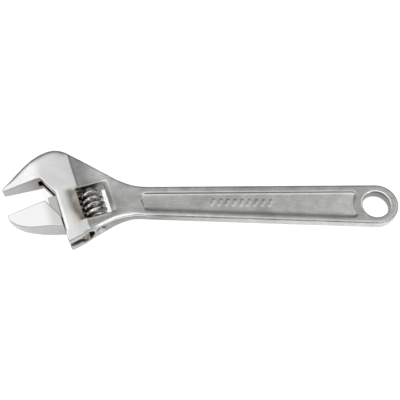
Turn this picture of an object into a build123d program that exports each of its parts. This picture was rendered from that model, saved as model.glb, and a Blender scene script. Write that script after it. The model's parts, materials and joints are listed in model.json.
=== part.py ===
from build123d import *
from math import ceil, cos, degrees, pi, radians, sin, sqrt, tan
import os

# Adjustable wrench, 200 mm size, lying flat. Millimetres.
# Frame: origin at the centre of the hanging hole on the mid-plane, +X towards the handle's end,
# the head at -X, +Z up through the hole. The head leans 20 degrees to the handle.
# The head has its own coordinates: w runs from the throat corner towards the handle, and u runs
# from the fixed jaw's gripping face in the direction in which the movable jaw opens.

# ---- whole wrench ----
HEAD_ANGLE = 20.0
THROAT = (-169.5, 10.9)  # throat corner in plan: w = 0, u = 0
END_R = 10.9
END_CENTRE = (0.5, 0.4)  # the handle's centreline runs at this height, beside the hole
HANDLE_TAPER = 1.27  # degrees on each side
HOLE_R = 6.75
HOLE_RIM_R = 1.2
EDGE_R = 1.5  # forged edges
CORNER_R = 0.5  # machined edges, before grinding

# ---- half thicknesses ----
HEAD_HALF = 6.45  # as forged
GROUND_DEPTH = 0.2
GROUND_END_W = 16.5
HANDLE_HALF = 3.0
HANDLE_START_W = 42.8
TIP_SLOPE = 10.2  # degrees, jaw faces towards the tips
TIP_START_W = -2.1
FACE_BLEND_R = 40.0

# ---- fixed jaw, crown and neck ----
JAW_LENGTH = 19.8
TIP_HEIGHT = 1.5
TIP_DIRECTION = (0.56, 0.83)
CROWN = ((-180.2, 16.35), (-171.1, 24.75), (-163.5, 27.6))
CROWN_END = (-156.6, 25.5)
NECK_TOP_X = -124.0
NECK_BOTTOM_X = -125.1
NECK_TOP_R = 38.0
NECK_BOTTOM_R = 29.0

# ---- throat and guide ----
GUIDE_W = 5.0
THROAT_U = 10.0  # the throat slant ends here
GUIDE_END_U = 38.9

# ---- rack bore and slot ----
RACK_W = 14.3
BORE_R = 3.85
SLOT_HALF = 2.5
SLOT_END_W = 1.0  # centre of the slot's round outer end
BLIND_U = -3.3

# ---- worm window ----
WINDOW_W = (15.5, 29.4)
WINDOW_U = (11.8, 29.2)
WINDOW_CORNER_R = 0.8
WINDOW_BREAK = 0.45  # broken edge along its two end walls
SCOOP_CENTRE = (24.65, 20.5)  # w, u
SCOOP_BALLS = ((27.5, 14.3), (60.0, 15.6))  # radius, and radius in plan at the face
BEVEL_Z = 3.1  # height at which the handle-side bevel meets the window
BEVEL_SLOPE = 31.0
BEVEL_LENGTH = 4.0  # of the cutting tool
BEVEL_WIDTH = 2.1  # as it comes out on the sloping face

# ---- handle panels and marks ----
UPPER_RIM = 3.3
LOWER_RIM = 2.5
PANEL_LEFT_X = -119.7
PANEL_LEFT_R = 4.7  # its corners towards the head
PANEL_LEFT_LEAN = 7.0
PANEL_RIGHT_R = 10.4  # about the hanging hole
PANEL_CORNER_R = 2.4
PANEL_STEPS = ((0.13, 77.0), (0.57, 46.0), (0.2, 77.0))  # depth and wall angle, from the rim down
MARK_COUNT = 9
MARK_PITCH = 3.6
MARK_START_X = -82.0
MARK_Y = 0.2
MARK_LENGTH = 3.6
MARK_WIDTH = 1.1
MARK_HEIGHT = 0.35
MARK_ROOT = 0.2
MARK_LEAN = 18.0

# ---- movable jaw ----
OPENING = 13.2
JAW_TIP = (20.3, 20.4, 2.6)  # length at the gripping face and at the tip's far corner, tip depth
JAW_BACK = ((17.4, 6.8), (8.6, 12.0))  # length and depth of the rounded back
JAW_DEPTH = 16.1
JAW_HALF = 6.25
JAW_SLOPE = 11.3
JAW_SLOPE_W = -1.5
JAW_BLEND_R = 30.0
JAW_EDGE_R = 0.35
JAW_GAP = 0.2  # between the jaw and the guide face
THROAT_GAP = 0.6
WEB_RISE = 2.8
WEB_HALF = 2.4
WEB_OUTER_W = 0.8
WEB_HEEL = ((6.2, 29.0), (4.0, 28.5))  # w, u where the web leaves the jaw for the bore
WEB_BACK_U = 16.0
ROD_R = 3.78
ROD_LENGTH = 26.0
TEETH_END_U = 33.4

# ---- worm, pin and spring ----
WORM_W = 21.7
WORM_R = 6.0
WORM_CORNER = 0.4
WORM_U = (14.2, 29.0)
COLLAR_R = 3.5
COLLAR_LENGTH = 2.0
PITCH = 3.3
CREST_WIDTH = 1.25
WORM_ROOT_R = 3.45
FLANK = 13.0
CREST_U = 16.9  # a crest's place on the rack side
TOOTH_GAP = 0.18
RACK_ROOT_W = 15.5
PIN_R = 2.0
PIN_HEAD_R = 2.3
PIN_U = (5.3, 35.6)
PIN_HEAD_U = 30.0
PIN_GAP = 0.1
PIN_FIT = 0.02
PIN_END_GAP = 0.3
PIN_SLOT = (0.7, 0.8)  # width and depth of the screwdriver slot
WORM_FIT = 0.05
SPRING_R = 2.5
SPRING_WIRE_R = 0.28
SPRING_PITCH = 1.15
SPRING_GAP = 0.1
COUNTERBORE_R = 3.0
COUNTERBORE_DEPTH = 6.0  # below the start of the thread

HEAD = Location((*THROAT, 0), (0, 0, HEAD_ANGLE))
DOWN_U = (90, 0, 0)  # turns +Z to point along +u
REACH = 150.0  # longer than anything it has to cut through
CUT = 10.0  # half height of tools, more than half the head's thickness
OUT = 0.6  # how far cutting tools stand proud
PAST_TIP_W = -30.0


def head_point(w, u):
    """Plan position of a point given in head coordinates."""
    c, s = cos(radians(HEAD_ANGLE)), sin(radians(HEAD_ANGLE))
    return (THROAT[0] + w * c + u * s, THROAT[1] + w * s - u * c)


def handle_half_width(x):
    """Half the handle's width, whose edges are tangent to the round end."""
    taper = radians(HANDLE_TAPER)
    return END_R / cos(taper) + (x - END_CENTRE[0]) * tan(taper)


def body_outline():
    """Plan shape of the forging: fixed jaw, crown, back, handle, belly, guide and throat."""
    tip = head_point(-JAW_LENGTH, -TIP_HEIGHT)
    x_mid, y_mid = END_CENTRE
    neck_top = (NECK_TOP_X, y_mid + handle_half_width(NECK_TOP_X))
    neck_bottom = (NECK_BOTTOM_X, y_mid - handle_half_width(NECK_BOTTOM_X))
    back = (neck_top[0] - CROWN_END[0], neck_top[1] - CROWN_END[1])
    taper = radians(HANDLE_TAPER)
    end_top = (x_mid - END_R * sin(taper), y_mid + END_R * cos(taper))
    end_bottom = (end_top[0], y_mid - END_R * cos(taper))
    lines = [
        Spline(tip, *CROWN, CROWN_END, tangents=[TIP_DIRECTION, back]),
        Line(CROWN_END, neck_top),
        Line(neck_top, end_top),
        ThreePointArc(end_top, (x_mid + END_R, y_mid), end_bottom),
        Line(end_bottom, neck_bottom),
        Line(neck_bottom, head_point(GUIDE_W, GUIDE_END_U)),
        Line(head_point(GUIDE_W, GUIDE_END_U), head_point(GUIDE_W, THROAT_U)),
        Line(head_point(GUIDE_W, THROAT_U), head_point(0, 0)),
        Line(head_point(0, 0), head_point(-JAW_LENGTH, 0)),
        Line(head_point(-JAW_LENGTH, 0), tip),
    ]
    outline = make_face(lines)
    for place, radius in ((neck_top, NECK_TOP_R), (neck_bottom, NECK_BOTTOM_R)):
        corner = outline.vertices().sort_by_distance(Vector(*place))[0]
        outline = fillet(corner, radius)
    return outline


def mirrored_section(upper, blends):
    """Closed section from its upper line and its mirror image, with blended corners."""
    lower = [(w, -z) for w, z in reversed(upper)]
    section = make_face(Polyline(*upper, *lower, close=True))
    for (w, z), radius in blends:
        for side in (1, -1):
            corner = section.vertices().sort_by_distance(Vector(w, side * z))[0]
            section = fillet(corner, radius)
    return section


def face_profile(half):
    """Section through the head and handle, seen along u: x is w and y is height."""
    drop = tan(radians(TIP_SLOPE)) * (TIP_START_W - PAST_TIP_W)
    corners = [(TIP_START_W, half), (GROUND_END_W, half), (HANDLE_START_W, HANDLE_HALF)]
    upper = [(PAST_TIP_W, half - drop), *corners, (2 * REACH, HANDLE_HALF)]
    return mirrored_section(upper, [(corner, FACE_BLEND_R) for corner in corners])


def along_u(section, length=2 * REACH):
    """A section drawn in w and height, pulled through along u, in head coordinates."""
    standing = Location((0, length / 2, 0), DOWN_U)
    return standing * extrude(section, length)


def ground_faces():
    """What grinding takes off the two faces of the jaw end."""
    width = GROUND_END_W - PAST_TIP_W
    area = Pos((GROUND_END_W + PAST_TIP_W) / 2, 0) * Rectangle(width, 2 * CUT)
    return HEAD * along_u(area - face_profile(HEAD_HALF - GROUND_DEPTH))


def scoop(side):
    """Round hollow for the thumb, as long as the window, with a soft outer edge."""
    face_z = HEAD_HALF - GROUND_DEPTH
    u0, u1 = WINDOW_U
    w0 = SCOOP_CENTRE[0] - 2 * CUT
    area = Pos((w0 + WORM_W) / 2, -(u0 + u1) / 2, side * CUT) * Box(WORM_W - w0, u1 - u0, 2 * CUT)
    balls = Part()
    for radius, plan_radius in SCOOP_BALLS:
        centre_z = face_z + sqrt(radius**2 - plan_radius**2)
        balls += Pos(SCOOP_CENTRE[0], -SCOOP_CENTRE[1], side * centre_z) * Sphere(radius)
    return HEAD * (balls & area)


def window_tool():
    """Window for the worm, with the bevel on its handle side."""
    w0, w1 = WINDOW_W
    u0, u1 = WINDOW_U
    plan = Pos((w0 + w1) / 2, -(u0 + u1) / 2) * RectangleRounded(w1 - w0, u1 - u0, WINDOW_CORNER_R)
    tool = extrude(plan, CUT, both=True)
    rise = tan(radians(BEVEL_SLOPE))
    near, far = w1 - 1, w1 + BEVEL_LENGTH
    for side in (1, -1):
        slope = [(near, side * (BEVEL_Z - rise)), (far, side * (BEVEL_Z + rise * BEVEL_LENGTH))]
        bevel = make_face(Polyline(*slope, (far, side * CUT), (near, side * CUT), close=True))
        tool += Pos(0, -(u0 + u1) / 2, 0) * along_u(bevel, u1 - u0)
    return HEAD * tool


def window_breaks():
    """Square bars on edge, one along each rim where an end wall meets the sloping face."""
    run = HANDLE_START_W - GROUND_END_W
    slope = (HEAD_HALF - HANDLE_HALF) / run
    length = WINDOW_W[1] + BEVEL_WIDTH - GROUND_END_W
    w = GROUND_END_W + length / 2
    z = HEAD_HALF - slope * length / 2
    bars = []
    for u in WINDOW_U:
        for side in (1, -1):
            bar = Rot(X=45) * Box(length, WINDOW_BREAK * sqrt(2), WINDOW_BREAK * sqrt(2))
            lean = side * degrees(slope)
            bars.append(HEAD * Location((w, -u, side * z), (0, lean, 0)) * bar)
    return bars


def rack_bore():
    """Round bore for the rack, and the slot that opens it to the guide face and the throat."""
    height = REACH - BLIND_U
    bore = Location((RACK_W, -BLIND_U, 0), DOWN_U) * extrude(Circle(BORE_R), height)
    round_end = Location((SLOT_END_W, -BLIND_U, 0), DOWN_U) * extrude(Circle(SLOT_HALF), height)
    middle = (RACK_W + SLOT_END_W) / 2
    slot = Pos(middle, -BLIND_U - height / 2, 0) * Box(RACK_W - SLOT_END_W, height, 2 * SLOT_HALF)
    return HEAD * (bore + round_end + slot)


def pin_bore():
    """Stepped bore for the worm's pin, from the end face through the window's two walls."""
    low = PIN_U[0] - PIN_END_GAP
    shank_length = PIN_HEAD_U - low
    shank = Location((WORM_W, -low, 0), DOWN_U) * extrude(Circle(PIN_R + PIN_FIT), shank_length)
    head = extrude(Circle(PIN_HEAD_R + PIN_FIT), GUIDE_END_U)
    return HEAD * (shank + Location((WORM_W, -PIN_HEAD_U, 0), DOWN_U) * head)


def hanging_hole():
    """Hole with broken rims on both faces."""
    rim = HANDLE_HALF - HOLE_RIM_R
    bend = HOLE_RIM_R * (1 - sin(radians(45)))
    outer = HOLE_R + HOLE_RIM_R
    middle = (HOLE_R + bend, HANDLE_HALF - bend)
    top = HANDLE_HALF + OUT
    section = make_face(
        [
            Polyline((outer, HANDLE_HALF), (outer, top), (0, top), (0, 0), (HOLE_R, 0), (HOLE_R, rim)),
            ThreePointArc((HOLE_R, rim), middle, (outer, HANDLE_HALF)),
        ]
    )
    upper = revolve(Plane.XZ * section, Axis.Z)
    return upper + mirror(upper, Plane.XY)


def panel_tool():
    """Recess in the handle's upper face, as wide as the rims leave, with soft stepped walls."""
    left, right = handle_half_width(PANEL_LEFT_X), handle_half_width(0)
    lean = left * tan(radians(PANEL_LEFT_LEAN))
    upper = [(PANEL_LEFT_X - lean, left - UPPER_RIM), (0, right - UPPER_RIM)]
    lower = [(0, LOWER_RIM - right), (PANEL_LEFT_X + lean, LOWER_RIM - left)]
    plan = Pos(0, END_CENTRE[1]) * make_face(Polyline(*upper, *lower, close=True))
    plan = fillet(plan.vertices().sort_by(Axis.X)[:2], PANEL_LEFT_R)
    plan -= Circle(PANEL_RIGHT_R)
    plan = fillet(plan.vertices().sort_by(Axis.X)[-2:], PANEL_CORNER_R)
    tool = Part()
    z = HANDLE_HALF
    for depth, angle in PANEL_STEPS:
        tool += extrude(Pos(0, 0, z) * plan, -depth, taper=angle)
        z -= depth
        plan = offset(plan, -depth * tan(radians(angle)), kind=Kind.INTERSECTION)
    return tool


def raised_marks():
    """Plain slanted bars in the upper panel."""
    floor = HANDLE_HALF - sum(depth for depth, _ in PANEL_STEPS)
    plan = SlotOverall(MARK_LENGTH, MARK_WIDTH, rotation=90)
    marks = []
    for i in range(MARK_COUNT):
        place = (MARK_START_X + i * MARK_PITCH, MARK_Y, floor - MARK_ROOT)
        marks.append(Location(place, (0, 0, -MARK_LEAN)) * extrude(plan, MARK_HEIGHT + MARK_ROOT))
    return marks


def outline_edges(forging, machined):
    """Edges round both faces: the forged ones, or those of the jaw face, throat, guide and tip."""
    edges = []
    for edge in forging.edges():
        middle = HEAD.inverse() * Pos(*(edge @ 0.5))
        w, u = middle.position.X, -middle.position.Y
        flat = abs(edge.tangent_at(0.5).Z) < 0.3
        on_jaw = w < 0.1 and abs(u) < 0.1
        on_throat = 0 <= w <= GUIDE_W + 0.1 and 0 <= u < GUIDE_END_U - 0.5 and u >= 2 * w - 0.2
        on_tip = w < -JAW_LENGTH + 0.1
        if flat and machined == (on_jaw or on_throat or on_tip):
            edges.append(edge)
    return edges


def wrench_body():
    """The forging, with everything that is ground, bored and cut into it."""
    forging = extrude(body_outline(), CUT, both=True) & (HEAD * along_u(face_profile(HEAD_HALF)))
    forging = fillet(outline_edges(forging, False), EDGE_R)
    forging = fillet(outline_edges(forging, True), CORNER_R)
    panel = panel_tool()
    tools = [ground_faces(), scoop(1), scoop(-1), window_tool(), *window_breaks()]
    tools += [rack_bore(), pin_bore(), hanging_hole(), panel, mirror(panel, Plane.XY)]
    for tool in tools:
        forging -= tool
    for mark in raised_marks():
        forging += mark
    return forging


def jaw_point(length, depth):
    """A point of the movable jaw, from its length towards the tip and its depth along u."""
    return (-length, -(OPENING + depth))


def jaw_blank():
    """The movable jaw's plan shape, thinned towards the tip."""
    near, far, tip_depth = JAW_TIP
    heel = JAW_GAP - GUIDE_W
    heel_depth = 2 * (THROAT_GAP - heel)
    corners = [(THROAT_GAP, 0), (near, 0), (far, tip_depth), (heel, JAW_DEPTH), (heel, heel_depth)]
    grip, face_tip, tip, heel_back, heel_front = [jaw_point(*corner) for corner in corners]
    plan = make_face(
        [
            Line(grip, face_tip),
            Line(face_tip, tip),
            Spline(tip, *[jaw_point(*point) for point in JAW_BACK], heel_back),
            Line(heel_back, heel_front),
            Line(heel_front, grip),
        ]
    )
    drop = tan(radians(JAW_SLOPE)) * (JAW_SLOPE_W - PAST_TIP_W)
    upper = [(PAST_TIP_W, JAW_HALF - drop), (JAW_SLOPE_W, JAW_HALF), (GUIDE_W, JAW_HALF)]
    section = mirrored_section(upper, [((JAW_SLOPE_W, JAW_HALF), JAW_BLEND_R)])
    blank = extrude(plan, CUT, both=True) & along_u(section)
    rims = [edge for edge in blank.edges() if abs(edge.tangent_at(0.5).Z) < 0.3]
    return fillet(rims, JAW_EDGE_R)


def movable_jaw():
    """The jaw with its web and the round rack that the worm drives."""
    top = OPENING - WEB_RISE
    end = top + ROD_LENGTH
    heel, shoulder = [(w, -u) for w, u in WEB_HEEL]
    start = [(WEB_OUTER_W, -top), (RACK_W, -top), (RACK_W, -end), (heel[0], -end)]
    web = make_face(Polyline(*start, heel, shoulder, (WEB_OUTER_W, -WEB_BACK_U), close=True))
    jaw = jaw_blank() + extrude(web, WEB_HALF, both=True)
    jaw += Location((RACK_W, -top, 0), DOWN_U) * extrude(Circle(ROD_R), ROD_LENGTH)
    for tool in rack_grooves(top, end):
        jaw -= tool
    runout = end - TEETH_END_U
    jaw -= Pos(RACK_ROOT_W + CUT / 2, -TEETH_END_U - runout, 0) * Box(CUT, 2 * runout, CUT)
    return HEAD * jaw


def thread_half(radius):
    """Half the thread's axial width at a radius from the worm's axis."""
    return CREST_WIDTH / 2 + (WORM_R - radius) * tan(radians(FLANK))


def rack_grooves(top, end):
    """Spaces between the rack's teeth, inclined like the worm's thread."""
    outer_w = RACK_W + ROD_R + OUT
    root = thread_half(WORM_W - RACK_ROOT_W) + TOOTH_GAP
    mouth = thread_half(WORM_W - outer_w) + TOOTH_GAP
    pitch_r = (WORM_R + WORM_ROOT_R) / 2
    lean = -degrees(PITCH / (2 * pi * pitch_r))
    outline = [(RACK_ROOT_W, -root), (outer_w, -mouth), (outer_w, mouth), (RACK_ROOT_W, root)]
    groove = extrude(make_face(Polyline(*outline, close=True)), CUT / 2, both=True)
    first = CREST_U - ceil((CREST_U - top) / PITCH) * PITCH
    count = ceil((end - first) / PITCH) + 1
    return [Pos(0, -first - i * PITCH, 0) * Rot(X=lean) * groove for i in range(count)]


def thread_space(turn):
    """Half a turn of the space between the worm's threads, from an angle given in turns."""
    outer_r = WORM_R + OUT
    corners = ((WORM_ROOT_R, -1), (outer_r, -1), (outer_r, 1), (WORM_ROOT_R, 1))
    edges = []
    for radius, side in corners:
        half = PITCH / 2 - thread_half(radius)
        edges.append(Pos(0, 0, side * half) * Edge.make_helix(PITCH, PITCH / 2, radius))
    faces = []
    for i, edge in enumerate(edges):
        faces.append(Face.make_surface_from_curves(edge, edges[(i + 1) % len(edges)]))
    for end in (0, 1):
        faces.append(Face(Wire.make_polygon([edge @ end for edge in edges], close=True)))
    first = CREST_U - WORM_U[0] + PITCH / 2
    return Pos(0, 0, first + turn * PITCH) * Rot(Z=360 * turn) * Solid(Shell(faces))


def turned(section):
    """A section in radius and height, turned about the vertical axis."""
    return revolve(Plane.XZ * make_face(Polyline(*section, close=True)), Axis.Z)


def worm_screw():
    """Blank with broken corners, the thread cut along it, then the collar, bore and counterbore."""
    length = WORM_U[1] - WORM_U[0]
    corner = WORM_R - WORM_CORNER
    section = [(0, 0), (corner, 0), (WORM_R, WORM_CORNER), (WORM_R, length - WORM_CORNER)]
    worm = turned([*section, (corner, length), (0, length)])
    for k in range(-4, 2 * ceil(length / PITCH + 1)):
        worm -= thread_space(k / 2)
    collar = [(0, -COLLAR_LENGTH), (COLLAR_R, -COLLAR_LENGTH), (COLLAR_R, WORM_CORNER)]
    worm += turned([*collar, (0, WORM_CORNER)])
    bore_r = PIN_R + WORM_FIT
    far = length + OUT
    near = -COLLAR_LENGTH - OUT
    step = [(COUNTERBORE_R, near), (COUNTERBORE_R, COUNTERBORE_DEPTH), (bore_r, COUNTERBORE_DEPTH)]
    worm -= turned([(0, near), *step, (bore_r, far), (0, far)])
    return worm_place(WORM_U[0]) * worm


def worm_place(u):
    """The worm's own axis runs along u, with its zero angle towards the rack."""
    frame = Plane(origin=(WORM_W, -u, 0), x_dir=(-1, 0, 0), z_dir=(0, -1, 0))
    return HEAD * frame.location


def worm_pin():
    """Pin that the worm turns on, with a slotted plug at the end face."""
    low, high = PIN_U
    head_length = high - PIN_HEAD_U - PIN_GAP
    pin = Location((WORM_W, -low, 0), DOWN_U) * extrude(Circle(PIN_R), high - low)
    plug = extrude(Circle(PIN_HEAD_R), head_length)
    pin += Location((WORM_W, -high + head_length, 0), DOWN_U) * plug
    pin -= Pos(WORM_W, -high, 0) * Box(PIN_SLOT[0], 2 * PIN_SLOT[1], CUT)
    return HEAD * pin


def worm_spring():
    """Coil spring in the worm's counterbore, pressing on the window's wall."""
    start = WINDOW_U[0] + SPRING_WIRE_R + SPRING_GAP
    end = WORM_U[0] + COUNTERBORE_DEPTH - SPRING_WIRE_R - SPRING_GAP
    helix = Helix(SPRING_PITCH, end - start, SPRING_R)
    wire = Plane(origin=helix @ 0, z_dir=helix % 0) * Circle(SPRING_WIRE_R)
    return worm_place(start) * sweep(wire, path=helix, is_frenet=True)


def main():
    os.makedirs("parts", exist_ok=True)
    for make in (wrench_body, movable_jaw, worm_screw, worm_pin, worm_spring):
        export_step(make(), f"parts/{make.__name__}.step")


main()
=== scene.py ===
import json
import math

import bmesh
import bpy
from mathutils import Matrix, Vector

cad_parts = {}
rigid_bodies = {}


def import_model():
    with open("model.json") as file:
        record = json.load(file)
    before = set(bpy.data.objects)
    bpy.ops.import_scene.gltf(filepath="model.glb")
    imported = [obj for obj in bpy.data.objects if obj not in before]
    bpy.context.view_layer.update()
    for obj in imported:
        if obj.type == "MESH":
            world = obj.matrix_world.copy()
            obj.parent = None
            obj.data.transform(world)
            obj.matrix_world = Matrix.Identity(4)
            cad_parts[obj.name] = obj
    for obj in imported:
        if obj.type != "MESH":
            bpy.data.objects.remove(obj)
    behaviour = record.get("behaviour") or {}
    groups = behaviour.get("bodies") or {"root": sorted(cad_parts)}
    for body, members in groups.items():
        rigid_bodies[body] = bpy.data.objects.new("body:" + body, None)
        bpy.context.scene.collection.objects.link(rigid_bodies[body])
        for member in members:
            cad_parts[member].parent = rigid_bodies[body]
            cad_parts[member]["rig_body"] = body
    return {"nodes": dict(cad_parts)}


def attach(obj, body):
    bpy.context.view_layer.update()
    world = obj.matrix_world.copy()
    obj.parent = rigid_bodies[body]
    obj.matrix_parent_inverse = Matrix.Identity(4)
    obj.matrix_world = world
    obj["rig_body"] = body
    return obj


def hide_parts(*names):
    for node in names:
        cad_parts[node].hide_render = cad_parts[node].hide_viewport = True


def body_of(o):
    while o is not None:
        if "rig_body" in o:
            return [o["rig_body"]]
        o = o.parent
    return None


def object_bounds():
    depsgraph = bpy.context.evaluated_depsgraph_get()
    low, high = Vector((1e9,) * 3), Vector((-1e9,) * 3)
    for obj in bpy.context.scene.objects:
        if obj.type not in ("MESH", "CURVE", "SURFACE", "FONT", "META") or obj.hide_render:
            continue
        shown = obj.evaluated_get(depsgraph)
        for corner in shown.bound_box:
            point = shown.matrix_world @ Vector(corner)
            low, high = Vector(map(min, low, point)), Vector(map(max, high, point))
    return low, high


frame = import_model()
cad_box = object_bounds()

MM = 0.001

# The wrench in mm. In the head, w runs from the throat towards the handle and u the way the jaw opens.
THROAT = Vector((-169.5, 10.9, 0)) * MM  # in metres
HEAD_ANGLE = math.radians(20)
HEAD_HALF = 6.45  # half thickness
HANDLE_HALF = 3.0  # half thickness
HANDLE_TAPER = math.radians(1.27)  # on each side
END_R = 10.9  # of the handle's round end
END_CENTRE = (0.5, 0.4)
HOLE_EDGE_R = 9.2  # a little outside the hanging hole's broken rim
TROUGH_X = (-117, -12)  # where the panels' lower wall is rounded
GROUND_END_W = 16.5
CREASE_DEPTH = 0.38
GUIDE_W = 5.0
GUIDE_END_U = 38.9  # the lower end face starts here and leans back from it
END_FACE_SLOPE = math.tan(math.radians(8.2))
RACK_W = 14.3
BORE_R = 3.85
BLIND_U = -3.3
SLOT_HALF = 2.5  # half width
SLOT_START_W = -1.5
WINDOW_END_W = 29.4
WINDOW_U = (11.8, 29.2)
WEB_HALF = 2.4  # half thickness
WORM_W = 21.7
WORM_R = 6.0
WORM_ROOT_R = 3.45
CREST_U = 16.9  # a crest's place on the rack's side
PITCH = 3.3

CAMERA_BACK = Vector((0.0062, -0.4383, 0.8988))  # 64 degrees above the floor
CAMERA_ROLL = math.radians(0.81)
CAMERA_LENS = 70.2
CAMERA_TARGET = Vector((-88.4, 2.5, 0))
CAMERA_DISTANCE = 394.9
LIGHT_TARGET = Vector((-0.09, 0, 0))  # in metres, as are the lights' distance and sizes
LIGHT_DISTANCE = 1.0
LIGHTS = (  # name, direction, size, power
    ("key", (-0.68, 0.27, 0.70), (0.8, 0.6), 0.80),
    ("top", (0.02, -0.33, 0.95), (1.1, 0.75), 1.8),
    ("front_right", (0.57, -0.63, 0.54), (0.7, 0.5), 1.5),
    ("right", (0.72, 0.30, 0.62), (0.5, 0.55), 0.75),
)
WORLD_LOW = (0.28, (0.09, 0.09, 0.09, 1))  # height of the direction, and colour
WORLD_HIGH = (0.97, (0.74, 0.745, 0.73, 1))
FLOOR_HALF = 3.0  # in metres
FLOOR_COLOUR = (0.9, 0.9, 0.9, 1)
FLOOR_ROUGHNESS = 0.8
FLOOR_GLOW = 0.60

# Painted shade inside the rack bore and slot: near black deep inside, less dark near the lower end face.
BORE_SHADE_DEEP = (0.028, 0.024, 0.018, 1)
BORE_SHADE_NEAR_END = (0.24, 0.215, 0.175, 1)
# Painted light: pale colour on the shaded bore mouth and on the rack's upper end.
PALE_PAINTED_LIGHT = (0.80, 0.76, 0.68, 1)
RACK_STAINS = ((0.07, 0.06, 0.045, 1), (0.30, 0.27, 0.22, 1))
FLANK_STAINS = ((0.16, 0.15, 0.13, 1), (0.74, 0.72, 0.69, 1))
# Painted shade at the roots of the worm's thread.
THREAD_ROOT_SHADE = (0.22, 0.21, 0.18, 1)
# Painted shade, warm-tinted, in the thumb hollows beside the window.
HOLLOW_SHADE_TONES = ((0.47, 0.44, 0.385, 1), (0.60, 0.57, 0.51, 1))
# Painted shade on the fixed jaw's gripping face near the throat.
GRIP_FACE_SHADE = (0.31, 0.28, 0.25, 1)


# ---------------------------------------------------------------- camera and light
def make_camera():
    """Looks down at the wrench from the handle's lower side."""
    back = CAMERA_BACK.normalized()
    right = Vector((math.cos(CAMERA_ROLL), math.sin(CAMERA_ROLL), 0))
    right = (right - back * right.dot(back)).normalized()
    up = back.cross(right)
    data = bpy.data.cameras.new("camera")
    data.lens = CAMERA_LENS
    data.sensor_width = 36
    data.clip_start = 0.01
    data.clip_end = 20
    camera = bpy.data.objects.new("camera", data)
    place = CAMERA_TARGET * MM + back * CAMERA_DISTANCE * MM
    camera.matrix_world = Matrix.Translation(place) @ Matrix((right, up, back)).transposed().to_4x4()
    bpy.context.scene.collection.objects.link(camera)
    bpy.context.scene.camera = camera


def soft_light(name, direction, size, power):
    """Rectangular studio light that faces the wrench's middle."""
    data = bpy.data.lights.new(name, "AREA")
    data.shape = "RECTANGLE"
    data.size, data.size_y = size
    data.energy = power
    light = bpy.data.objects.new(name, data)
    direction = Vector(direction).normalized()
    light.location = LIGHT_TARGET + direction * LIGHT_DISTANCE
    light.rotation_mode = "QUATERNION"
    light.rotation_quaternion = direction.to_track_quat("Z", "Y")
    bpy.context.scene.collection.objects.link(light)


def make_world():
    """Studio walls, dark near the floor and pale overhead."""
    world = bpy.data.worlds.new("studio")
    world.use_nodes = True
    tree = world.node_tree
    background = tree.nodes["Background"]
    coords = tree.nodes.new("ShaderNodeTexCoord")
    split = tree.nodes.new("ShaderNodeSeparateXYZ")
    ramp = tree.nodes.new("ShaderNodeValToRGB")
    tree.links.new(coords.outputs["Generated"], split.inputs[0])
    tree.links.new(split.outputs["Z"], ramp.inputs[0])
    tree.links.new(ramp.outputs[0], background.inputs["Color"])
    ramp.color_ramp.interpolation = "EASE"
    for stop, (position, colour) in zip(ramp.color_ramp.elements, (WORLD_LOW, WORLD_HIGH)):
        stop.position = position
        stop.color = colour
    background.inputs["Strength"].default_value = 1.0
    bpy.context.scene.world = world


def make_floor(level):
    """Pale floor that glows a little, so that shadows on it stay faint."""
    mesh = bpy.data.meshes.new("floor")
    half = FLOOR_HALF
    corners = [(-half, -half, level), (half, -half, level), (half, half, level), (-half, half, level)]
    mesh.from_pydata(corners, [], [(0, 1, 2, 3)])
    floor = bpy.data.objects.new("floor", mesh)
    bpy.context.scene.collection.objects.link(floor)
    material = bpy.data.materials.new("floor_paint")
    material.use_nodes = True
    shader = material.node_tree.nodes["Principled BSDF"]
    shader.inputs["Base Color"].default_value = FLOOR_COLOUR
    shader.inputs["Roughness"].default_value = FLOOR_ROUGHNESS
    shader.inputs["Emission Color"].default_value = (1, 1, 1, 1)
    shader.inputs["Emission Strength"].default_value = FLOOR_GLOW
    mesh.materials.append(material)


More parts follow.
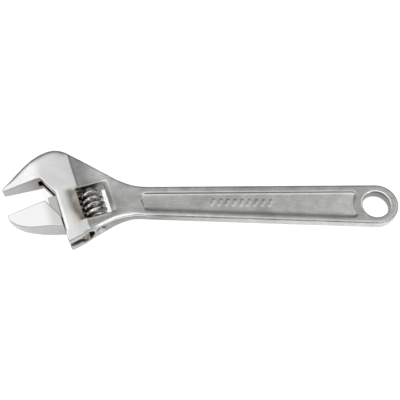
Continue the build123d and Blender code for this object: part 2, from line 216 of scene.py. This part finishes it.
# ---------------------------------------------------------------- materials
class Paint:
    """Builds a node material, with the place of a point in mm and its normal at hand."""

    def __init__(self, name):
        self.material = bpy.data.materials.new(name)
        self.material.use_nodes = True
        self.tree = self.material.node_tree
        self.shader = self.tree.nodes["Principled BSDF"]
        place = self.tree.nodes.new("ShaderNodeTexCoord")
        self.coords = place.outputs["Object"]
        self.head = self.place(self.coords, THROAT, (0, 0, HEAD_ANGLE))
        self.x, self.y, self.z = self.in_mm(self.coords)
        self.w, down, _ = self.in_mm(self.head)
        self.u = self.math("MULTIPLY", down, -1.0)
        self.height = self.math("ABSOLUTE", self.z)
        self.right, self.back, up = self.split(place.outputs["Normal"])
        self.facing = self.math("ABSOLUTE", up)  # one on the two faces, nothing on the sides

    def put(self, socket, value):
        """Gives a socket a link or a plain value."""
        if isinstance(value, bpy.types.NodeSocket):
            self.tree.links.new(value, socket)
        else:
            socket.default_value = value

    def math(self, operation, a, b=0.0, c=0.0):
        node = self.tree.nodes.new("ShaderNodeMath")
        node.operation = operation
        for socket, value in zip(node.inputs, (a, b, c)):
            self.put(socket, value)
        return node.outputs[0]

    def times(self, first, *others):
        for other in others:
            first = self.math("MULTIPLY", first, other)
        return first

    def plus(self, a, b):
        return self.math("ADD", a, b)

    def minus(self, a, b):
        return self.math("SUBTRACT", a, b)

    def distance(self, a, b):
        """Length of a step of a one way and b at right angles to it."""
        return self.math("SQRT", self.plus(self.math("POWER", a, 2.0), self.math("POWER", b, 2.0)))

    def ramp(self, value, low, high, to_low=0.0, to_high=1.0):
        """Smooth step from one value to another."""
        node = self.tree.nodes.new("ShaderNodeMapRange")
        node.interpolation_type = "SMOOTHSTEP"
        for socket, number in zip(node.inputs, (value, low, high, to_low, to_high)):
            self.put(socket, number)
        return node.outputs[0]

    def band(self, value, start, full, full_end, end):
        """Smooth step up to one, and down again."""
        return self.times(self.ramp(value, start, full), self.ramp(value, end, full_end))

    def place(self, vector, location=(0, 0, 0), rotation=(0, 0, 0), scale=(1, 1, 1)):
        """A vector in axes that are moved, turned and stretched."""
        node = self.tree.nodes.new("ShaderNodeMapping")
        node.vector_type = "TEXTURE"
        for socket, number in zip(node.inputs, (vector, location, rotation, scale)):
            self.put(socket, number)
        return node.outputs[0]

    def noise(self, vector, scale, detail, roughness):
        node = self.tree.nodes.new("ShaderNodeTexNoise")
        self.put(node.inputs["Vector"], vector)
        self.put(node.inputs["Scale"], scale)
        self.put(node.inputs["Detail"], detail)
        self.put(node.inputs["Roughness"], roughness)
        return node.outputs["Fac"]

    def mix(self, factor, a, b):
        """Blend of two colours."""
        node = self.tree.nodes.new("ShaderNodeMix")
        node.data_type = "RGBA"
        self.put(node.inputs["Factor"], factor)
        self.put(node.inputs["A"], a)
        self.put(node.inputs["B"], b)
        return node.outputs["Result"]

    def blend(self, factor, a, b):
        """Blend of two numbers."""
        node = self.tree.nodes.new("ShaderNodeMix")
        node.data_type = "FLOAT"
        factor_socket, _, a_socket, b_socket = node.inputs[:4]
        self.put(factor_socket, factor)
        self.put(a_socket, a)
        self.put(b_socket, b)
        return node.outputs[0]

    def scaled(self, colour, factor):
        """A colour made darker or lighter by a number."""
        node = self.tree.nodes.new("ShaderNodeVectorMath")
        node.operation = "SCALE"
        self.put(node.inputs[0], colour)
        self.put(node.inputs["Scale"], factor)
        return node.outputs[0]

    def split(self, vector):
        node = self.tree.nodes.new("ShaderNodeSeparateXYZ")
        self.put(node.inputs[0], vector)
        return node.outputs

    def in_mm(self, vector):
        return [self.math("DIVIDE", part, MM) for part in self.split(vector)]

    def bump(self, height, distance):
        """Normal of a surface that rises by up to a distance in mm."""
        node = self.tree.nodes.new("ShaderNodeBump")
        self.put(node.inputs["Height"], height)
        self.put(node.inputs["Distance"], distance * MM)
        self.put(node.inputs["Strength"], 1.0)
        return node.outputs[0]

    def finish(self, colour, roughness, normal, metallic=1.0):
        self.put(self.shader.inputs["Metallic"], metallic)
        self.put(self.shader.inputs["Base Color"], colour)
        self.put(self.shader.inputs["Roughness"], roughness)
        self.put(self.shader.inputs["Normal"], normal)
        return self.material


def grey(value, warm=0.0):
    return (value * (1 + warm), value, value * (1 - warm), 1)


def forging_material():
    """Satin plated forging, polished on the ground faces of the jaw end, with painted shade inside the
    bore and slot and painted light at the bore's mouth.
    """
    p = Paint("plated_forging")
    mottle = p.noise(p.coords, 140, 4, 0.6)
    patches = p.noise(p.coords, 55, 2, 0.5)
    peel = p.noise(p.coords, 800, 2, 0.5)
    fine = p.noise(p.coords, 3200, 3, 0.7)
    lines = p.noise(p.place(p.head, scale=(1, 0.04, 1), rotation=(0, 0, 0.12)), 2200, 4, 0.7)
    flat = p.ramp(p.facing, 0.65, 0.95)
    ground = p.ramp(p.w, GROUND_END_W + 0.15, GROUND_END_W - 0.15)
    polished = p.times(ground, flat)
    wall = window_wall(p)
    mouth, inside = bore_and_slot(p)

    colour = p.mix(polished, satin_colour(p, mottle, fine), ground_colour(p, mottle))
    # Painted shade: a dark line along the ground faces' edges at the lower end face.
    colour = p.mix(p.times(ground, end_face_edge_shade(p)), colour, grey(0.42))
    # The gripping face: grey for its brushed finish and for painted shade, darker and warmer towards the
    # throat.
    colour = p.mix(gripping_face(p), colour, p.mix(p.ramp(p.w, -9, 0), grey(0.41), GRIP_FACE_SHADE))
    # Painted light on the window's handle-side wall, standing for the pale floor's reflection.
    colour = p.mix(wall, colour, grey(0.70))
    # Painted shade along the crease.
    colour = p.mix(p.times(crease(p), flat), colour, grey(0.30, 0.02))
    # Painted shade in the thumb hollow, warm-tinted and darkest towards its upper end.
    hollow_shade = p.mix(p.ramp(mottle, 0.35, 0.65), *HOLLOW_SHADE_TONES)
    colour = p.mix(thumb_hollow(p), colour, p.scaled(hollow_shade, p.ramp(p.u, 13, 27, 0.62, 1.65)))
    # Painted light on the shaded mouth of the rack bore at the window's upper end.
    colour = p.mix(mouth, colour, PALE_PAINTED_LIGHT)
    # Painted shade inside the bore and slot, darker deeper in from the lower end face.
    bore_shade = p.mix(p.ramp(inside_end_face(p), 2, 8), BORE_SHADE_NEAR_END, BORE_SHADE_DEEP)
    colour = p.mix(inside, colour, bore_shade)

    satin_rough = p.ramp(mottle, 0.25, 0.75, 0.30, 0.42)
    ground_rough = p.ramp(lines, 0.3, 0.7, 0.20, 0.30)
    roughness = p.blend(inside, p.blend(polished, satin_rough, ground_rough), 0.55)
    satin_height = p.plus(p.plus(p.times(peel, 1.1), p.times(fine, 0.30)), p.times(patches, 1.6))
    ground_height = p.plus(p.times(lines, 0.16), p.times(patches, 0.7))
    normal = p.bump(p.blend(polished, satin_height, ground_height), 0.05)
    dull = p.math("MAXIMUM", mouth, wall)
    return p.finish(colour, roughness, normal, p.blend(dull, 1.0, 0.15))


def satin_colour(p, mottle, fine):
    """Plating on all that is forged: faces, sides, hanging hole, panel walls and belly edge, with
    painted shade and light on the slope behind the head, painted shade on the sides, the hole's wall and
    the panels' upper walls, painted light on the panels' lower walls, and painted highlights on the
    hole's rim and the belly edge.
    """
    tone = satin_tone(p, mottle, fine)
    colour = p.mix(p.ramp(p.w, 95, 60), grey(0.54, 0.01), grey(0.60, 0.008))
    # Painted shade and light on the forged slope behind the head: dark by the crease and towards the
    # lower end, pale further back.
    slope_shading = p.mix(p.ramp(p.w, 20, 31), grey(0.37), grey(0.88, 0.008))
    slope_shading = p.mix(p.ramp(p.u, 6, 26), slope_shading, grey(0.37, 0.012))
    colour = p.mix(p.ramp(p.w, 42, 28, 0.0, 0.85), colour, slope_shading)
    colour = p.mix(p.ramp(p.w, 120, 175, 0.0, 0.25), colour, grey(0.74, 0.015))
    colour = p.scaled(colour, tone)

    at_hole = p.ramp(p.distance(p.x, p.y), HOLE_EDGE_R, HOLE_EDGE_R - 0.2)
    # Painted shade: side faces darker than the faces, darkest between head and handle, and the hanging
    # hole's wall darker still.
    side = p.mix(p.ramp(p.w, 45, 75), grey(0.29, 0.01), grey(0.49, 0.01))
    side = p.mix(p.ramp(p.w, 25, 18), side, grey(0.45, 0.01))
    side = p.mix(at_hole, p.scaled(side, tone), grey(0.24, 0.01))
    colour = p.mix(p.ramp(p.facing, 0.35, 0.80), side, colour)
    # Painted highlight on the hanging hole's rim.
    hole_rim_highlight = p.times(p.band(p.facing, 0.45, 0.6, 0.95, 0.985), at_hole)
    colour = p.mix(hole_rim_highlight, colour, grey(0.9))

    lower_wall_light, upper_wall_shade = panel_walls(p)
    # Painted light on each panel's lower wall and painted shade on its upper wall.
    colour = p.mix(lower_wall_light, colour, grey(0.72, 0.01))
    colour = p.mix(upper_wall_shade, colour, grey(0.20))
    # Painted highlight along the belly edge.
    return p.mix(belly_edge_highlight(p), colour, grey(0.88))


def satin_tone(p, mottle, fine):
    """Clouds, streaks and specks in the plating, with darker panel rims than panel floors."""
    streaks = p.noise(p.place(p.coords, scale=(6, 1, 1)), 900, 3, 0.6)
    tone = p.ramp(mottle, 0.28, 0.72, 0.86, 1.14)
    tone = p.times(tone, p.ramp(streaks, 0.35, 0.70, 0.96, 1.06), p.ramp(fine, 0.34, 0.66, 1.14, 0.78))
    on_handle = p.ramp(p.w, 44, 50)
    sunk = p.times(on_handle, p.ramp(p.height, 2.6, 2.3))
    rim_tone = p.blend(on_handle, 1.0, 0.88)
    floor_tone = p.ramp(p.w, 60, 170, 0.92, 1.18)
    return p.times(tone, p.blend(sunk, rim_tone, floor_tone))


def panel_walls(p):
    """Masks of the wall along each panel's lower side and of the one along its upper side."""
    in_panel = p.times(p.ramp(p.w, 44, 47), p.ramp(p.facing, 0.5, 0.62))
    in_panel = p.times(in_panel, p.ramp(p.height, HANDLE_HALF, HANDLE_HALF - 0.03))
    lower = p.times(p.ramp(p.back, 0.2, 0.4), p.ramp(p.y, 0, -1))
    upper = p.times(p.ramp(p.back, -0.38, -0.58), p.ramp(p.y, 0, 1), p.ramp(p.right, 0.3, 0.15))
    return p.times(in_panel, lower), p.times(in_panel, upper)


def belly_edge_highlight(p):
    """Mask of the painted highlight on the rounded edge between the lower end face and the handle."""
    along = p.times(p.band(p.w, 18, 22, 44, 52), p.ramp(p.u, 24, 28))
    return p.times(along, p.band(p.facing, 0.30, 0.45, 0.88, 0.95))


def ground_colour(p, mottle):
    """Polished faces, with a painted highlight on the throat side of the rack, towards the lower end."""
    colour = p.mix(p.ramp(mottle, 0.3, 0.7), grey(0.82, -0.008), grey(0.89, -0.003))
    # Painted highlight on the polished face.
    bright = p.times(p.ramp(p.w, 13, 8), p.ramp(p.u, 16, 27))
    return p.mix(bright, colour, grey(0.985, -0.004))


def inside_end_face(p):
    """How far a point is inside the lower end face, along u."""
    end = p.minus(GUIDE_END_U, p.times(p.minus(p.w, GUIDE_W), END_FACE_SLOPE))
    return p.minus(end, p.u)


def end_face_edge_shade(p):
    """Mask of the painted shade line along the edges between the lower end face and the two faces."""
    return p.times(p.ramp(inside_end_face(p), 2.5, 2), p.band(p.facing, 0.15, 0.30, 0.96, 0.985))


def gripping_face(p):
    """Mask of the fixed jaw's gripping face."""
    on_face = p.times(p.ramp(p.w, 0.6, 0), p.ramp(p.math("ABSOLUTE", p.u), 0.4, 0.1))
    return p.times(on_face, p.ramp(p.facing, 0.7, 0.3))


def window_wall(p):
    """Mask of the window's wall on the handle side, below the bevel, where light is painted."""
    end, (first, last) = WINDOW_END_W, WINDOW_U
    wall = p.times(p.band(p.w, end - 0.8, end - 0.3, end + 0.5, end + 1.0), p.ramp(p.facing, 0.75, 0.6))
    wall = p.times(wall, p.ramp(p.height, 4.6, 4.0))
    return p.times(wall, p.band(p.u, first - 0.5, first - 0.1, last + 0.1, last + 0.4))


def crease(p):
    """Mask of the painted shade line where the ground faces end, fainter towards the lower end."""
    middle = GROUND_END_W + 0.3
    line = p.band(p.w, middle - 0.5, middle, middle, middle + 1.5)
    return p.times(line, p.ramp(p.u, 24, 32, 1.0, 0.45))


def thumb_hollow(p):
    """Mask of the hollow in each face beside the window."""
    return p.times(p.band(p.w, 8.4, 12.2, 26, 30), p.band(p.u, 9.8, 12.3, 28.5, 32))


def bore_and_slot(p):
    """Masks of the rack bore beside the window's upper end, and of the rest of the bore and the slot."""
    bore = p.ramp(p.distance(p.minus(p.w, RACK_W), p.z), BORE_R + 0.2, BORE_R + 0.1)
    slot = p.band(p.w, SLOT_START_W - 0.5, SLOT_START_W + 0.1, RACK_W - 0.5, RACK_W)
    slot = p.times(slot, p.ramp(p.height, SLOT_HALF + 0.25, SLOT_HALF))
    at_window = p.band(p.u, 5, 8, 12, 13)
    inside = p.math("MAXIMUM", slot, p.times(bore, p.minus(1.0, at_window)))
    inside = p.times(inside, p.ramp(p.u, BLIND_U - 1.0, BLIND_U - 0.5))
    inside = p.times(inside, p.ramp(inside_end_face(p), 0.5, 1.2))
    return p.times(at_window, bore), inside


def jaw_material():
    """Bright ground faces, ground sides with lines along them and painted shade, a satin web and an oily
    rack with painted highlights and light.
    """
    p = Paint("ground_jaw")
    mottle = p.noise(p.coords, 150, 4, 0.6)
    patches = p.noise(p.coords, 60, 2, 0.5)
    face_lines = p.noise(p.place(p.head, scale=(0.05, 1, 1), rotation=(0, 0, 0.3)), 2200, 4, 0.7)
    side_lines = p.noise(p.place(p.head, scale=(25, 25, 1)), 2600, 3, 0.7)
    flat = p.ramp(p.facing, 0.65, 0.95)
    lines = p.blend(flat, side_lines, face_lines)
    web = p.times(p.ramp(p.height, WEB_HALF + 0.3, WEB_HALF + 0.1), p.ramp(p.w, -0.4, 0.5))
    web = p.times(web, p.ramp(p.facing, 0.4, 0.8))

    # Painted shade: the ground sides are made darker than the ground faces.
    shaded_side_colour = p.mix(p.ramp(side_lines, 0.35, 0.65), grey(0.36), grey(0.46))
    colour = p.mix(flat, shaded_side_colour, p.mix(mottle, grey(0.82), grey(0.87)))
    colour = p.mix(web, colour, p.mix(mottle, grey(0.60, 0.01), grey(0.74, 0.02)))
    colour = p.mix(p.ramp(p.w, 6.5, 8.5), colour, rack_colour(p))
    roughness = p.blend(web, p.ramp(lines, 0.3, 0.7, 0.20, 0.32), 0.36)
    relief = p.plus(p.times(lines, 0.2), p.times(patches, 0.6))
    return p.finish(colour, roughness, p.bump(relief, 0.05))


def rack_colour(p):
    """Stained rod, with painted highlights on the tips of its teeth and painted light on its upper end.
    """
    stains = p.ramp(p.noise(p.coords, 700, 3, 0.7), 0.42, 0.58)
    # Painted highlights on the tips of the teeth.
    colour = p.mix(p.ramp(p.w, 15.6, 17.8), p.mix(stains, *RACK_STAINS), grey(0.88, 0.02))
    # Painted light on the rack's upper end.
    return p.mix(p.ramp(p.u, 12.8, 12.0), colour, PALE_PAINTED_LIGHT)


def worm_material():
    """Bright blotched crests with a painted highlight along one edge, and oily spaces with painted shade
    at the thread roots and on the rack's side.
    """
    p = Paint("worm_steel")
    across = p.minus(p.w, WORM_W)
    radius = p.distance(across, p.z)
    turn = p.math("DIVIDE", p.math("ARCTAN2", p.z, across), 2 * math.pi)
    along = p.math("DIVIDE", p.minus(p.u, CREST_U), PITCH)
    thread = p.math("WRAP", p.minus(along, turn), 1.0, 0.0)  # 0.5 in the middle of the crest
    mottle = p.noise(p.coords, 420, 4, 0.65)
    scratches = p.noise(p.place(p.head, scale=(1, 0.1, 1)), 2500, 3, 0.7)
    blotches = p.ramp(mottle, 0.44, 0.56)
    crest = p.ramp(radius, WORM_R - 0.25, WORM_R - 0.12)

    steel = p.mix(blotches, grey(0.20, 0.01), grey(0.90, 0.012))
    # Painted highlight: a white band along one edge of each crest.
    steel = p.mix(p.band(thread, 0.26, 0.30, 0.39, 0.45), steel, grey(1.0))
    flank = p.mix(blotches, *FLANK_STAINS)
    # Oily blotched spaces, with painted shade at the thread root.
    space = p.mix(p.ramp(radius, WORM_ROOT_R + 0.05, WORM_ROOT_R + 0.85), THREAD_ROOT_SHADE, flank)
    # Painted shade, darkest on the rack's side of the worm.
    space = p.scaled(space, p.ramp(across, -3.5, 0.5, 0.06, 1.0))
    colour = p.mix(crest, space, steel)
    roughness = p.ramp(mottle, 0.3, 0.7, 0.14, 0.30)
    normal = p.bump(p.plus(mottle, scratches), 0.012)
    return p.finish(colour, roughness, normal, p.blend(crest, 0.3, 1.0))


def turned_metal(name, low, high, roughness, lines_scale):
    """Turned or drawn steel: fine rings along u, small stains and scratches."""
    p = Paint(name)
    mottle = p.noise(p.coords, 420, 4, 0.65)
    rings = p.noise(p.place(p.head, scale=(20, 1, 20)), lines_scale, 3, 0.7)
    stains = p.ramp(p.noise(p.coords, 900, 3, 0.7), 0.56, 0.70)
    colour = p.mix(p.ramp(mottle, 0.3, 0.7), grey(low), grey(high, 0.01))
    colour = p.mix(stains, colour, (low * 0.4, low * 0.36, low * 0.29, 1))
    rough = p.ramp(rings, 0.3, 0.7, roughness - 0.06, roughness + 0.08)
    return p.finish(colour, rough, p.bump(p.plus(p.times(rings, 0.6), mottle), 0.012))


# ---------------------------------------------------------------- meshes
def remeshed(node, name, voxel, smoothing):
    """A CAD node's shape as one even mesh with softly rounded edges, which stands for the node."""
    source = frame["nodes"][node]
    piece = bpy.data.objects.new(name, source.data.copy())
    bpy.context.scene.collection.objects.link(piece)
    grid = piece.modifiers.new("grid", "REMESH")
    grid.mode = "VOXEL"
    grid.voxel_size = voxel * MM
    smooth = piece.modifiers.new("smooth", "SMOOTH")
    smooth.factor = 0.5
    smooth.iterations = smoothing
    settle(piece)
    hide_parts(node)
    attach(piece, body_of(source)[0])
    return piece


def settle(piece):
    """Turns a piece's modifiers into its mesh."""
    depsgraph = bpy.context.evaluated_depsgraph_get()
    mesh = bpy.data.meshes.new_from_object(piece.evaluated_get(depsgraph))
    mesh.name = piece.name
    piece.modifiers.clear()
    piece.data = mesh
    mesh.materials.clear()
    mesh.shade_smooth()


def thin(piece, share):
    """Fewer faces, first where the surface is flat."""
    modifier = piece.modifiers.new("thin", "DECIMATE")
    modifier.ratio = share
    settle(piece)


def drop_crumbs(piece):
    """Keeps only the largest connected part of a mesh."""
    mesh = bmesh.new()
    mesh.from_mesh(piece.data)
    left = set(mesh.verts)
    largest = set()
    while left:
        island, waiting = set(), [left.pop()]
        while waiting:
            vertex = waiting.pop()
            island.add(vertex)
            for edge in vertex.link_edges:
                other = edge.other_vert(vertex)
                if other in left:
                    left.remove(other)
                    waiting.append(other)
        largest = max(largest, island, key=len)
    crumbs = [vertex for vertex in mesh.verts if vertex not in largest]
    bmesh.ops.delete(mesh, geom=crumbs, context="VERTS")
    mesh.to_mesh(piece.data)
    mesh.free()


def soften(piece, weight, iterations):
    """Rounds edges further where weight, a function of the place, is over zero."""
    group = piece.vertex_groups.new(name="soft")
    for vertex in piece.data.vertices:
        value = weight(vertex.co)
        if value > 0:
            group.add([vertex.index], min(value, 1.0), "REPLACE")
    smooth = piece.modifiers.new("soften", "SMOOTH")
    smooth.factor = 0.5
    smooth.iterations = iterations
    smooth.vertex_group = "soft"
    settle(piece)
    piece.vertex_groups.clear()


def swell(piece, weight, distance):
    """Moves side faces outwards where weight is over zero, to make up for what softening takes."""
    normals = [normal.vector.copy() for normal in piece.data.vertex_normals]
    for vertex, normal in zip(piece.data.vertices, normals):
        share = min(max(weight(vertex.co), 0), 1)
        vertex.co += Vector((normal.x, normal.y, 0)) * distance * share


def sink_behind_crease(piece):
    """Lowers both faces a little behind the ground part, so that the ground face ends in a crease."""
    for vertex in piece.data.vertices:
        past_start = head_place(vertex.co)[0] - GROUND_END_W + 0.7
        step = smooth_step(past_start / 1.3) - smooth_step(rise(past_start, 1.3, 13))
        outside = smooth_step(rise(abs(vertex.co.z) / MM, 4.1, 0.9))
        vertex.co.z *= 1 - CREASE_DEPTH / HEAD_HALF * step * outside


def head_place(point):
    """A point's w and u in mm."""
    x, y = point.x - THROAT.x, point.y - THROAT.y
    c, s = math.cos(HEAD_ANGLE), math.sin(HEAD_ANGLE)
    return (x * c + y * s) / MM, (x * s - y * c) / MM


def rise(value, start, length):
    """Straight line from nothing at start to one a length further on, or back if it is negative."""
    return (value - start) / length


def smooth_step(x):
    x = min(max(x, 0), 1)
    return x * x * (3 - 2 * x)


def crown_weight(point):
    """One along the crown's rim, falling to nothing near the jaw face and behind the ground part."""
    w, u = head_place(point)
    return min(rise(u, -2.5, -3), rise(w, GROUND_END_W, -1.5))


def trough_weight(point):
    """One along the lower wall of each handle panel."""
    x, y = point.x / MM, point.y / MM
    left, right = TROUGH_X
    half = END_R / math.cos(HANDLE_TAPER) + (x - END_CENTRE[0]) * math.tan(HANDLE_TAPER)
    inset = y - END_CENTRE[1] + half
    along = min(rise(x, left, 3), rise(x, right, -3))
    return min(rise(inset, 1.4, 0.8), rise(inset, 6.2, -1.2), along, rise(abs(point.z) / MM, 1, 0.4))


def hollow_weight(point):
    """One where the thumb hollow runs out on the ground face, nothing near the window's wall."""
    w, u = head_place(point)
    across = min(rise(w, 4, 2), rise(w, 15, -1.2))
    along = min(rise(u, 7, 2), rise(u, 33, -2))
    return min(across, along, rise(abs(point.z) / MM, 4.6, 0.8))


def belly_weight(point):
    """One along the lower edge between the end face and the handle."""
    w, u = head_place(point)
    edge = GUIDE_END_U - (w - GUIDE_W) * END_FACE_SLOPE
    return min(rise(w, 13, 4), rise(w, 44, -6), rise(abs(u - edge), 4, -2))


def dress(node, material):
    """Gives a CAD node one material."""
    slots = frame["nodes"][node].data.materials
    slots.clear()
    slots.append(material)


make_camera()
make_world()
make_floor(cad_box[0].z)
for light in LIGHTS:
    soft_light(*light)

forging = remeshed("wrench_body", "forging", 0.3, 3)
sink_behind_crease(forging)
swell(forging, crown_weight, 0.5 * MM)
soften(forging, crown_weight, 270)
soften(forging, trough_weight, 80)
soften(forging, hollow_weight, 120)
soften(forging, belly_weight, 220)
thin(forging, 0.5)
forging.data.materials.append(forging_material())

jaw = remeshed("movable_jaw", "jaw", 0.18, 2)
thin(jaw, 0.5)
jaw.data.materials.append(jaw_material())

worm = remeshed("worm_screw", "worm", 0.085, 1)
thin(worm, 0.34)
drop_crumbs(worm)
worm.data.materials.append(worm_material())

dress("worm_pin", turned_metal("pin_steel", 0.34, 0.47, 0.24, 2600))
dress("worm_spring", turned_metal("spring_steel", 0.34, 0.48, 0.30, 3600))

scene = bpy.context.scene
scene.view_settings.view_transform = "Standard"
scene.view_settings.look = "None"
